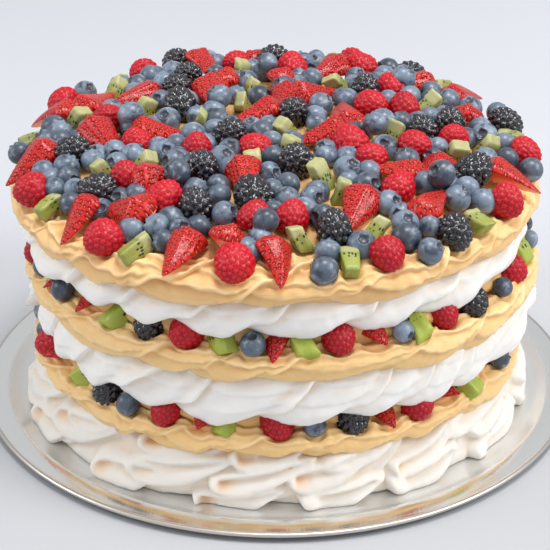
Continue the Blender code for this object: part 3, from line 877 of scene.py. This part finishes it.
def drupelet_berry(kind, count, depth, taper, chance):
    """A berry of many small beads, its tip towards -Y and a hollow at its base.

    Its faces fan out from the middle of every bead, so that the creases stay crisp."""
    centres = even_points(count, chance)
    bm = bmesh.new()
    for centre in centres:
        bm.verts.new(centre)
    bmesh.ops.convex_hull(bm, input=bm.verts)
    bmesh.ops.subdivide_edges(bm, edges=bm.edges, cuts=3, use_grid_fill=True)
    bmesh.ops.recalc_face_normals(bm, faces=bm.faces)
    mesh = mesh_of(kind, bm)
    way = coordinates(mesh)
    way /= np.linalg.norm(way, axis=1)[:, None]
    angle = np.sort(np.arccos(np.clip(way @ centres.T, -1, 1)), axis=1)
    apart = np.clip((angle[:, 1] - angle[:, 0]) / math.sqrt(4 * math.pi / count), 0, 1)
    dome = np.sqrt(apart * (2 - apart))
    points = way * (1 - depth + depth * dome)[:, None] * 0.5
    points[:, 1] -= 0.08 * step(way[:, 1], 0.80, 1.0)
    narrow = 1.0 + taper * way[:, 1]
    points *= np.stack([narrow, np.ones_like(narrow), narrow], 1) * FRUIT_SIZE[kind] * 1.05
    set_coordinates(mesh, points)
    return mesh, points, dome


def blueberry(chance):
    """A slightly flat ball with the star-shaped crown at its upper end (+Z)."""
    profile = [(0.0, -0.48)]
    for angle in range(-75, 61, 15):
        turn = math.radians(angle)
        profile.append((0.5 * math.cos(turn), 0.48 * math.sin(turn)))
    profile += [(0.235, 0.424), (0.225, 0.462), (0.185, 0.460), (0.150, 0.405), (0.08, 0.375),
                (0.0, 0.37)]
    mesh = mesh_of("blueberry", turned(profile, 20))
    points = coordinates(mesh)
    turn = np.arctan2(points[:, 1], points[:, 0])
    flat = np.hypot(points[:, 0], points[:, 1])
    rim = bell(flat, 0.208, 0.035) * (points[:, 2] > 0.44)
    star = np.cos(5 * turn + chance.uniform(0, 6))
    points[:, 2] += 0.045 * rim * star
    points[:, :2] *= (1 + 0.16 * rim * star)[:, None]
    crown = step(points[:, 2], 0.415, 0.44) * step(flat, 0.27, 0.22)
    inner = step(flat, 0.19, 0.14) * (points[:, 2] > 0.3)
    points *= np.array(FRUIT_SIZE["blueberry"])
    set_coordinates(mesh, points)
    return mesh, points, np.clip(crown * 0.5 + inner, 0, 1)


def kiwi_piece(chance, rounding=1.8 * MM):
    """A cut stick of kiwi: the core at one end, seeds next to it, then flesh."""
    bm = bmesh.new()
    bmesh.ops.create_cube(bm, size=1.0)
    bmesh.ops.subdivide_edges(bm, edges=bm.edges, cuts=7, use_grid_fill=True)
    mesh = mesh_of("kiwi", bm)
    sides = np.array(FRUIT_SIZE["kiwi"])
    points = coordinates(mesh) * sides
    inner = np.clip(points, -(sides / 2 - rounding), sides / 2 - rounding)
    away = points - inner
    points = inner + away / np.maximum(np.linalg.norm(away, axis=1), 1e-9)[:, None] * rounding
    share = points[:, 1] / sides[1]
    points[:, 0] *= 1 - chance.uniform(0.08, 0.45) * (share + 0.5)
    points[:, 1] *= chance.uniform(0.74, 0.95)
    points[:, 1] += chance.uniform(-0.45, 0.45) * points[:, 0]
    points[:, 2] *= 1 + chance.uniform(-0.5, 0.5) * share
    points[:, 0] -= chance.uniform(0.6, 1.6) * MM * np.cos(math.pi * share)
    points += 0.22 * MM * np.sin(points[:, [1, 2, 0]] / (1.1 * MM) + chance.uniform(0, 6))
    set_coordinates(mesh, points)
    return mesh, points, share


def strawberry_piece(chance):
    """A wedge of strawberry: the skin on top, two cut sides below, its tip towards -Y."""
    bm = bmesh.new()
    bmesh.ops.create_icosphere(bm, subdivisions=4, radius=1.0)
    mesh = mesh_of("strawberry", bm)
    x, y, z = coordinates(mesh).T
    across, along, thick = FRUIT_SIZE["strawberry"]
    flat = np.sqrt(np.maximum(1 - y * y, 1e-6))  # how wide the ball is here
    round_end = np.sqrt(np.clip(1 - ((np.maximum(y, 0.35) - 0.35) / 0.66) ** 2, 0, 1))
    wide = np.minimum(1.12 * (0.5 * y + 0.5) ** 0.75 + 0.01, round_end + 0.03)
    side = x / flat
    below = z < 0
    top = np.where(below, 0.0, z / flat)
    keel = np.where(below, -0.75 * (1 - np.abs(side)) * np.minimum(1, -z / flat * 3), top * 0.95)
    ridge = chance.uniform(0.1, 0.3) * step(np.abs(side), 0.35, 0.0) * (z > 0)
    high = (keel + ridge * wide) * wide * thick * 1.15
    points = np.stack([side * wide * across, y * along, high], 1) * 0.5
    points[:, 0] += chance.uniform(-1.2, 1.2) * MM * y * y
    points[:, 2] += 0.9 * MM * np.sin(y * 2 + chance.uniform(0, 6))
    set_coordinates(mesh, points)
    return mesh, np.stack([side * wide, y, z], 1), np.where(below, 1.0, 0.0)


# ---------------------------------------------------------------- fruit finishes
def raspberry_finish():
    made = Finish("raspberry_skin", subsurface_weight=0.15, subsurface_scale=0.0015,
                  subsurface_radius=(1.0, 0.15, 0.12), specular_ior_level=0.26,
                  coat_roughness=0.12)
    dome, place = made.attribute("Dome"), made.place()
    colour = made.mix(made.attribute("Which"), "raspberry", "ripe_raspberry")
    # painted shade: the raspberry is darker in the creases between its drupelets
    colour = made.mix(dome.between(0.55, 0.05) * 0.8, colour, "raspberry_crease_shade")
    patches = made.noise(place, 90.0).between(0.50, 0.8)
    colour = made.mix(patches * 0.20, colour, "raspberry_patch")
    fine = made.noise(place, 1500.0, 3.0, 0.6)
    return made.done(base_color=colour, roughness=0.36 + fine * 0.14, coat_weight=dome * 0.32,
                     normal=made.bump(fine, 0.0004, 0.3))


def bramble_finish():
    made = Finish("bramble_skin", specular_ior_level=0.10, coat_roughness=0.05, coat_ior=1.6)
    dome, place = made.attribute("Dome"), made.place()
    colour = made.mix(made.attribute("Which") * 0.7, "bramble", "ripe_bramble")
    patches = made.noise(place, 210.0).between(0.5, 0.75)
    colour = made.mix(patches * 0.3, colour, "bramble_patch")
    # painted shade: the bramble is darker in the creases between its drupelets
    colour = made.mix(dome.between(0.6, 0.1), colour, "bramble_crease_shade")
    fine = made.noise(place, 900.0, 2.0)
    return made.done(base_color=colour, roughness=0.30 + fine * 0.10,
                     coat_weight=dome.between(0.0, 0.5), normal=made.bump(fine, 0.0002, 0.1))


def blueberry_finish():
    made = Finish("blueberry_skin", specular_ior_level=0.50, coat_roughness=0.20)
    bloom = made.noise(made.place(), 130.0, 4.0, 0.65, 0.6)
    colour = made.mix(made.attribute("Which"), "blueberry", "dark_blueberry")
    colour = made.mix(bloom.between(0.52, 0.70) * 0.6, colour, "bloom")
    colour = made.mix(bloom.between(0.48, 0.36) * 0.8, colour, "rubbed_bloom")
    colour = made.mix(made.attribute("Dome").between(0.3, 0.9) * 0.85, colour, "crown")
    return made.done(base_color=colour, roughness=0.30 + bloom * 0.25,
                     coat_weight=0.25 + bloom * 0.2, normal=made.bump(bloom, 0.0004, 0.35))


def kiwi_finish():
    made = Finish("kiwi_flesh", subsurface_weight=0.35, subsurface_scale=0.004,
                  subsurface_radius=(0.6, 1.0, 0.25), specular_ior_level=0.55,
                  coat_roughness=0.12)
    local = made.attribute("Place", "Vector")
    ray = made.noise(made.stretched(local, (420.0, 60.0, 420.0)), 1.0, 2.0)
    flesh = made.mix(made.attribute("Which"), "kiwi", "pale_kiwi")
    flesh = made.mix(ray.between(0.45, 0.7) * 0.5, flesh, "kiwi_ray")
    # painted light: kiwi between the tiers is painted brighter and greener, standing in for the
    # light that the tiers above keep off it
    lightened_between_tiers = made.parts(made.place())[2].between(0.130, 0.115)
    flesh = made.mix(lightened_between_tiers * 0.55, flesh, "kiwi_painted_light")
    where = made.parts(local)[1] + (ray - 0.5) * 0.0022
    colour = made.mix(where.between(0.0030, 0.0052), flesh, "kiwi_core")
    seeds = made.cells(made.stretched(local, (430.0, 270.0, 430.0)), 1.0, 0.75)
    band = where.between(-0.0030, -0.0015) * where.between(0.0042, 0.0030)
    seed = seeds.between(0.38, 0.29) * band
    colour = made.mix(seed, colour, "kiwi_seed")
    return made.done(base_color=colour, roughness=0.36 + ray * 0.18,
                     coat_weight=0.15 + seed * 0.4,
                     normal=made.bump(ray * 0.7 + seed * 0.6, 0.0009, 0.5))


def strawberry_finish():
    made = Finish("strawberry_skin", subsurface_weight=0.15, subsurface_scale=0.002,
                  subsurface_radius=(1.0, 0.12, 0.08), specular_ior_level=0.32,
                  coat_roughness=0.10)
    local = made.attribute("Place", "Vector")
    x, _, z = made.parts(local)
    pits = made.cells(made.stretched(local, (4.8, 6.4, 0.0)), 1.0, 0.55, "2D")
    colour = made.mix(made.attribute("Which"), "strawberry", "ripe_strawberry")
    # painted shade: the skin is darker red in the pits round the seeds
    colour = made.mix(pits.between(0.34, 0.16) * 0.26, colour, "strawberry_pit_shade")
    seed = pits.between(0.12, 0.07)
    colour = made.mix(seed * 0.7, colour, "strawberry_seed")
    fibre = made.noise(made.stretched(local, (2.0, 9.0, 4.0)), 1.5, 3.0)
    pulp = made.mix((x * x + fibre * 0.3).between(0.05, 0.6), "pulp", "pulp_edge")
    skin = z.between(-0.06, 0.02)
    colour = made.mix(skin, pulp, colour)
    height = (seed * 0.5 - pits.between(0.50, 0.10)) * skin + fibre * 0.25
    return made.done(base_color=colour, roughness=0.27 + fibre * 0.16, coat_weight=skin * 0.25,
                     normal=made.bump(height, 0.0015, 1.0))


# ---------------------------------------------------------------- fruit in its place
MAKERS = {
    "raspberry": lambda chance: drupelet_berry("raspberry", 105, 0.11, 0.2, chance),
    "bramble": lambda chance: drupelet_berry("bramble", 76, 0.25, 0.1, chance),
    "blueberry": blueberry,
    "kiwi": kiwi_piece,
    "strawberry": strawberry_piece,
}
VARIANTS = {"raspberry": 3, "bramble": 3, "blueberry": 3, "kiwi": 5, "strawberry": 4}


def turn_of(fruit, chance):
    """How a piece is turned: as its solid, save that crowns show and tips stand up."""
    if fruit["kind"] == "blueberry":
        crown = Vector([chance.uniform(-1, 1), chance.uniform(-1, 1), chance.uniform(-0.2, 1.2)])
        return crown.to_track_quat("Z", "Y").to_matrix()
    pitch = fruit["tilt"]
    if fruit["rim"]:
        pitch += RIM_LEAN
        if fruit["tier"] != "top":
            pitch += HANGING_LEAN.get(fruit["kind"], 0.0)
    elif fruit["kind"] in STANDING:
        pitch = chance.uniform(*STANDING[fruit["kind"]])
    return (Matrix.Rotation(math.radians(fruit["heading"]), 3, "Z")
            @ Matrix.Rotation(math.radians(pitch), 3, "X")
            @ Matrix.Rotation(math.radians(fruit["roll"]), 3, "Y"))


def build_fruit(kind, tier, finish):
    """All the fruit of one kind on one tier as one piece."""
    chance = random.Random(f"{kind} {tier}")
    shapes = [MAKERS[kind](chance) for _ in range(VARIANTS[kind])]
    bm = bmesh.new()
    points, fields = [], {"Place": [], "Dome": [], "Which": []}
    for fruit in (fruit for fruit in FRUIT[tier] if fruit["kind"] == kind):
        shape, local, dome = chance.choice(shapes)
        bm.from_mesh(shape)
        turn = np.array(turn_of(fruit, chance)) * fruit["scale"] * GROWN.get((kind, tier), 1.0)
        points.append(coordinates(shape) @ turn.T + np.array(fruit["middle"]))
        which = np.full(len(dome), chance.random())
        for name, values in zip(fields, (local, dome, which)):
            fields[name].append(values)
    mesh = mesh_of(f"{kind}_{tier}", bm)
    set_coordinates(mesh, np.concatenate(points))
    for name, values in fields.items():
        set_attribute(mesh, name, np.concatenate(values))
    add_piece(mesh, finish, "fruit", f"fruit_{tier}")


def build_kinds(finishes):
    for kind, finish in finishes.items():
        for tier in TIERS:
            build_fruit(kind, tier, finish)


def heap_bed(bottom):
    """The domed cream under the top's fruit."""
    profile = [(0.0, bottom), (CORE_RADIUS, bottom)]
    profile += [(radius, bottom + 0.002)
                for radius in (CORE_RADIUS, 0.125, 0.11, 0.09, 0.07, 0.05, 0.03, 0.0)]
    bm = turned(profile, 96)
    for vertex in bm.verts:
        if vertex.co.z > bottom + 0.001:
            spot = Vector((vertex.co.x, vertex.co.y, 0.0))
            edge = min(1.0, (CORE_RADIUS - spot.length) / 0.02)
            vertex.co.z = bottom + 0.001 + (mound(spot) - 0.0025) * (0.3 + 0.7 * edge)
    return bm


def ring_bed(tier, bottom):
    """The cream behind the fruit between two tiers, slightly rippled."""
    top = TIERS[tier]["top"] + TRAY_SHEET
    reach = RIM_REACH[tier] - 0.0125
    profile = [(0.0, bottom), (reach - 0.001, bottom)]
    for share in (0.15, 0.35, 0.5, 0.65, 0.85):
        radius = reach - 0.0015 * math.cos(math.pi * share * 2)
        profile.append((radius, bottom + share * (top - bottom)))
    profile += [(reach - 0.001, top), (0.0, top)]
    bm = turned(profile, 240)
    for vertex in bm.verts:
        flat = Vector((vertex.co.x, vertex.co.y, 0.0))
        if flat.length > 0.05:
            turn = math.atan2(flat.x, -flat.y)
            vertex.co += flat.normalized() * 0.0012 * math.sin(31 * turn + 400 * vertex.co.z)
    return bm


def build_core(tier):
    """The cream that the fruit of a tier lies in."""
    bottom = TIERS[tier]["fruit"] + TRAY_SHEET + GAP
    bm = heap_bed(bottom) if tier == "top" else ring_bed(tier, bottom)
    mesh = mesh_of(f"fruit_bed_{tier}", bm)
    mesh.transform(Matrix.Translation((TIER_SHIFT[tier], 0.0, 0.0)))
    # painted shade: the whole bed is given half the hollow depth, so it takes part of the cream's
    # darker fold colour, as shade among the fruit
    set_attribute(mesh, "Hollow", np.full(len(mesh.vertices), 0.5))
    add_piece(mesh, bpy.data.materials["coffee_cream"], "cream", f"fruit_{tier}")


# ---------------------------------------------------------------- tray
def tray_finish():
    made = Finish("tray_metal")
    place = made.place()
    cloud = made.noise(place, 14.0, 4.0, 0.6)
    rolled = made.noise(made.stretched(place, (900.0, 22.0, 60.0), (0, 0, 0.5)), 1.0, 2.0)
    x, y, _ = made.parts(place)
    radius = (x * x + y * y) ** 0.5
    flange = radius.between(TRAY_FLANGE_RADIUS - 0.002, TRAY_FLANGE_RADIUS + 0.001)
    bead = radius.between(TRAY_RADIUS - 0.0026, TRAY_RADIUS - 0.0018)
    colour = made.mix(cloud.between(0.35, 0.7) * 0.5, "tray_floor", "tray_cloud")
    colour = made.mix(flange, colour, "tray")
    # painted shade: the rolled bead is painted darker and warmer than the sheet, damping its bright
    # reflection
    colour = made.mix(bead, colour, "tray_bead_shade")
    rough = (0.26 + cloud * 0.09 + rolled * 0.03) * (1.0 - flange * 0.42) + bead * 0.12
    return made.done(base_color=colour, roughness=rough, metallic=0.85 + flange * 0.15,
                     normal=made.bump(rolled + cloud * 0.6, 0.0004, 0.12))


def build_tray():
    """Turned sheet with soft bends, a flange that falls outward and a rolled bead."""
    bead, base, flange = TRAY_BEAD_RADIUS, TRAY_BASE_RADIUS, TRAY_FLANGE_RADIUS
    middle = (TRAY_RADIUS - bead, TRAY_FLANGE_HEIGHT - TRAY_FLANGE_DROP)
    upper = [
        (0.0, TRAY_SHEET), (0.05, TRAY_SHEET), (0.12, TRAY_SHEET), (base - 0.0035, TRAY_SHEET),
        (base - 0.0012, TRAY_SHEET + 0.0003), (base + 0.0012, TRAY_SHEET + 0.0012),
        (flange - 0.0022, 0.0046), (flange - 0.0008, TRAY_FLANGE_HEIGHT - 0.0002),
        (flange + 0.0010, TRAY_FLANGE_HEIGHT), (flange + 0.0030, 0.00575),
        (flange + 0.0050, 0.00562), (flange + 0.0070, 0.00538), (flange + 0.0087, 0.00510),
        (flange + 0.0098, 0.00490)]
    rolled = [(middle[0] + bead * math.cos(math.radians(angle)),
               middle[1] + bead * math.sin(math.radians(angle))) for angle in range(150, -121, -30)]
    lower = [
        (flange + 0.0045, 0.0041), (flange + 0.0010, 0.0042), (flange - 0.0004, 0.0036),
        (base + 0.0022, 0.0006), (base + 0.0006, 0.0), (0.12, 0.0), (0.0, 0.0)]
    mesh = mesh_of("tray_turned", turned(upper + rolled + lower, 256))
    add_piece(mesh, tray_finish(), "tray_metal", "tray")


# ---------------------------------------------------------------- stage
def area_light(name, place, aim, size, energy, colour):
    lamp = bpy.data.lights.new(name, "AREA")
    lamp.shape, lamp.size, lamp.energy, lamp.color = "DISK", size, energy, colour
    made = add_object(name, lamp)
    made.location = place
    made.rotation_euler = (Vector(aim) - Vector(place)).to_track_quat("-Z", "Y").to_euler()


def build_sky():
    """An even pale room, brighter overhead and to the right and dimmer low on the left."""
    world = bpy.data.worlds.new("soft_room")
    made = NodeTree(world)
    where = made.node("ShaderNodeTexCoord", {}, {}, "Generated")
    facing = made.node("ShaderNodeVectorMath", dict(operation="DOT_PRODUCT"),
                       {0: where, 1: Vector(SKY_BRIGHTEST).normalized()}, "Value")
    bright = made.node("ShaderNodeMapRange", {}, {"Value": facing, **SKY_RANGE}, "Result")
    background = made.nodes["Background"].inputs
    made.feed(background["Color"], (0.965, 0.98, 1.0))
    made.feed(background["Strength"], bright)
    bpy.context.scene.world = world


def floor_finish():
    made = Finish("floor_plain", roughness=0.75)
    grey = bpy.context.scene.cake_colours.floor
    place = made.place()
    x, y, _ = made.parts(place)
    # painted light: the floor is painted lighter towards the back, and lighter still behind on the
    # right, as if lit there
    behind = y.between(-0.15, 0.35)
    tone = made.mix(behind, "floor", tuple(1.19 * part for part in grey))
    tone = made.mix(behind * x.between(0.0, 0.5), tone, tuple(1.27 * part for part in grey))
    tone = made.mix(made.noise(place, 3.0, 3.0) * 0.04, tone, "floor_cloud")
    return made.done(base_color=tone)


def build_stage():
    """Pale floor painted lighter towards the back and the back right as if lit there, soft
    window-like light from the right and a cool, even fill.
    """
    bm = bmesh.new()
    bmesh.ops.create_circle(bm, cap_ends=True, segments=96, radius=6.0)
    floor = add_object("floor", mesh_of("floor", bm))
    floor.data.materials.append(floor_finish())
    build_sky()
    for lamp in LAMPS:
        area_light(*lamp)
    lens = bpy.data.cameras.new("camera")
    lens.lens, lens.sensor_width = 108.0, 36.0
    camera = add_object("camera", lens)
    camera.location = (-0.00168, -0.8861, 0.5091)
    camera.rotation_euler = (math.radians(63.531), 0.0, 0.0)
    bpy.context.scene.camera = camera
    bpy.context.scene.view_settings.view_transform = "Standard"


# ---------------------------------------------------------------- operators and panel
class CakeStage(bpy.types.Operator):
    """Floor, light and camera round the cake"""

    bl_idname = "cake.stage"
    bl_label = "Stage"

    def execute(self, context):
        build_stage()
        return {"FINISHED"}


class CakeTray(bpy.types.Operator):
    """The round metal tray with its flange and rolled rim"""

    bl_idname = "cake.tray"
    bl_label = "Tray"

    def execute(self, context):
        build_tray()
        return {"FINISHED"}


class CakeMeringue(bpy.types.Operator):
    """The three piped meringue discs"""

    bl_idname = "cake.meringue"
    bl_label = "Meringue"

    def execute(self, context):
        meringue_finish()
        for tier in TIERS:
            build_meringue(tier)
        return {"FINISHED"}


class CakeCream(bpy.types.Operator):
    """The three layers of ruffled cream and the cream among the fruit"""

    bl_idname = "cake.cream"
    bl_label = "Cream"

    def execute(self, context):
        cream_finish()
        for tier in TIERS:
            build_cream(tier)
            build_core(tier)
        return {"FINISHED"}


class CakeBerries(bpy.types.Operator):
    """Raspberries, brambles and blueberries"""

    bl_idname = "cake.berries"
    bl_label = "Berries"

    def execute(self, context):
        build_kinds({"raspberry": raspberry_finish(), "bramble": bramble_finish(),
                     "blueberry": blueberry_finish()})
        return {"FINISHED"}


class CakeCutFruit(bpy.types.Operator):
    """Kiwi sticks and strawberry wedges"""

    bl_idname = "cake.cut_fruit"
    bl_label = "Cut fruit"

    def execute(self, context):
        build_kinds({"kiwi": kiwi_finish(), "strawberry": strawberry_finish()})
        return {"FINISHED"}


CAKE_STEPS = (CakeStage, CakeTray, CakeMeringue, CakeCream, CakeBerries, CakeCutFruit)


class CakePanel(bpy.types.Panel):
    bl_idname = "VIEW3D_PT_cake"
    bl_label = "Meringue cake"
    bl_space_type = "VIEW_3D"
    bl_region_type = "UI"
    bl_category = "Cake"

    def draw(self, context):
        for group in (context.scene.cake_sizes, context.scene.cake_colours):
            box = self.layout.box()
            for name in group.__annotations__:
                box.prop(group, name)
        for made in CAKE_STEPS:
            self.layout.operator(made.bl_idname)


CLASSES = (CakeSizes, CakeColours, *CAKE_STEPS, CakePanel)


def register():
    for made in CLASSES:
        bpy.utils.register_class(made)
    bpy.types.Scene.cake_sizes = PointerProperty(type=CakeSizes)
    bpy.types.Scene.cake_colours = PointerProperty(type=CakeColours)


def unregister():
    del bpy.types.Scene.cake_colours
    del bpy.types.Scene.cake_sizes
    for made in reversed(CLASSES):
        bpy.utils.unregister_class(made)


def main():
    register()
    bpy.ops.cake.stage()
    bpy.ops.cake.tray()
    bpy.ops.cake.meringue()
    bpy.ops.cake.cream()
    bpy.ops.cake.berries()
    bpy.ops.cake.cut_fruit()


if __name__ == "__main__":
    main()
